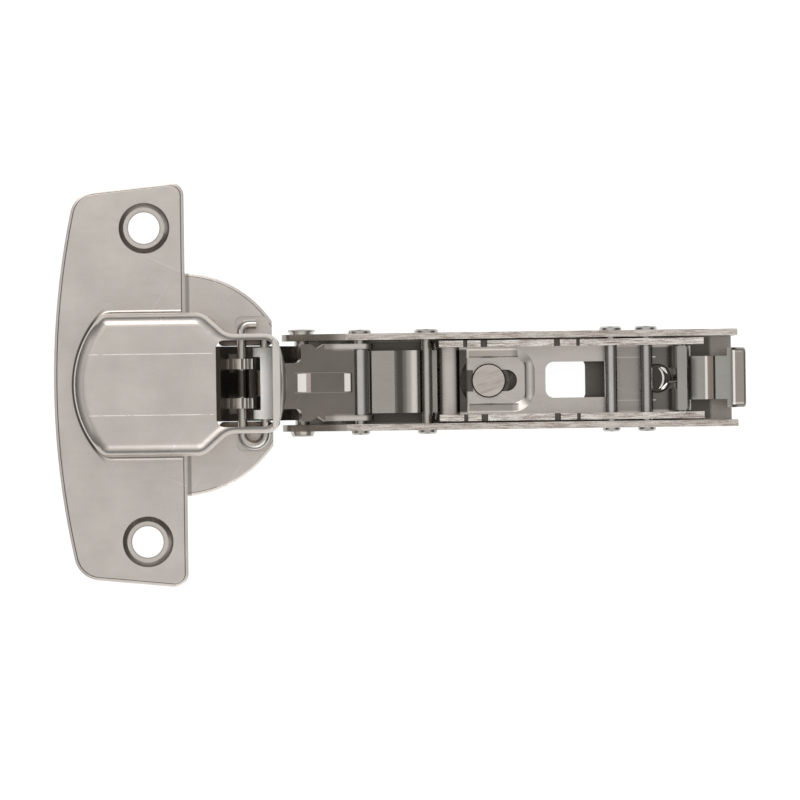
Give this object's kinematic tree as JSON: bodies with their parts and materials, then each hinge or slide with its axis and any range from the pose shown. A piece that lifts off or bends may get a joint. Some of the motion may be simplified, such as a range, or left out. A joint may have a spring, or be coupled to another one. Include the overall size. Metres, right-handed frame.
{
  "type": "concealed cup hinge",
  "caption": "Concealed cabinet hinge: drawn cup with a screw flange, links folding from it into a stamped arm, and a clip-on tail with adjusting screws and a release lever.",
  "frame": {"origin": "centre of the cup bore, on the flange face that lies on the door", "axes": "+Z out of the cup's bottom, into the door; +X along the arm towards its tail; +Y across, from one flange screw to the other. Stored folded open at ninety degrees."},
  "size_m": [0.115, 0.0672, 0.028],
  "materials": {
    "nickel_cup": "nickel plated, finely brushed",
    "nickel_link": "nickel plated",
    "nickel_arm": "nickel plated, finely brushed",
    "nickel_channel": "nickel plated",
    "nickel_lever": "nickel plated",
    "rivet_steel": "nickel plated, turned",
    "pin_steel": "bright drawn wire",
    "screw_steel": "nickel plated, turned",
    "spring_steel": "bright spring steel",
    "white_plastic": "white, satin"
  },
  "bodies": {
    "arm": {"hinge_arm": "nickel_arm", "inner_rivet": "rivet_steel", "outer_rivet": "rivet_steel", "spring_rivet": "rivet_steel", "rivet_collars": "rivet_steel", "closing_spring": "spring_steel", "stop_pin": "rivet_steel", "swing_pin": "rivet_steel"},
    "outer_link": {"outer_link": "nickel_link", "outer_sleeve": "pin_steel", "link_bush": "white_plastic"},
    "cup": {"cup": "nickel_cup", "cup_pin": "pin_steel"},
    "inner_link": {"inner_link": "nickel_link"},
    "channel": {"clip_channel": "nickel_channel", "lever_pin": "pin_steel", "lever_spring": "spring_steel"},
    "side_screw": {"side_screw": "screw_steel"},
    "depth_screw": {"depth_screw": "screw_steel"},
    "lever": {"release_lever": "nickel_lever"}
  },
  "joints": [
    {"name": "outer_link_swing", "type": "hinge", "parent": "arm", "child": "outer_link", "pos_m": [0.03, 0, -0.0045], "axis": [0, 1, 0], "range_deg": [-1.8, 32]},
    {"name": "cup_fold", "type": "hinge", "parent": "outer_link", "child": "cup", "pos_m": [0.01433, 0, 0.003], "axis": [0, 1, 0], "range_deg": [-121.98, 6.78]},
    {"name": "inner_link_swing", "type": "hinge", "parent": "arm", "child": "inner_link", "pos_m": [0.0202, 0, -0.0095], "axis": [0, 1, 0], "range_deg": [-2.2, 38.45]},
    {"name": "channel_swing", "type": "hinge", "parent": "arm", "child": "channel", "pos_m": [0.0777, 0, -0.0048], "axis": [0, 1, 0], "range_deg": [-1.5, 1.5]},
    {"name": "side_screw_turn", "type": "hinge", "parent": "channel", "child": "side_screw", "pos_m": [0.05144, 0, -0.01], "axis": [0, 0, 1], "range_deg": [-380, 380]},
    {"name": "depth_screw_turn", "type": "hinge", "parent": "channel", "child": "depth_screw", "pos_m": [0.0796, 0, -0.0085], "axis": [0, 0, 1], "range_deg": [-180, 180]},
    {"name": "release_lever_pull", "type": "hinge", "parent": "channel", "child": "lever", "pos_m": [0.08335, 0, -0.0046], "axis": [0, 1, 0], "range_deg": [0, 12], "stiffness_Nm_per_rad": 0.03, "springref_deg": -5.73}
  ],
  "couplings": [
    {"joint": "outer_link_swing", "follows": "cup_fold", "ratio": -0.2622},
    {"joint": "inner_link_swing", "follows": "cup_fold", "ratio": -0.3147},
    {"joint": "side_screw_turn", "follows": "channel_swing", "ratio": 236}
  ]
}
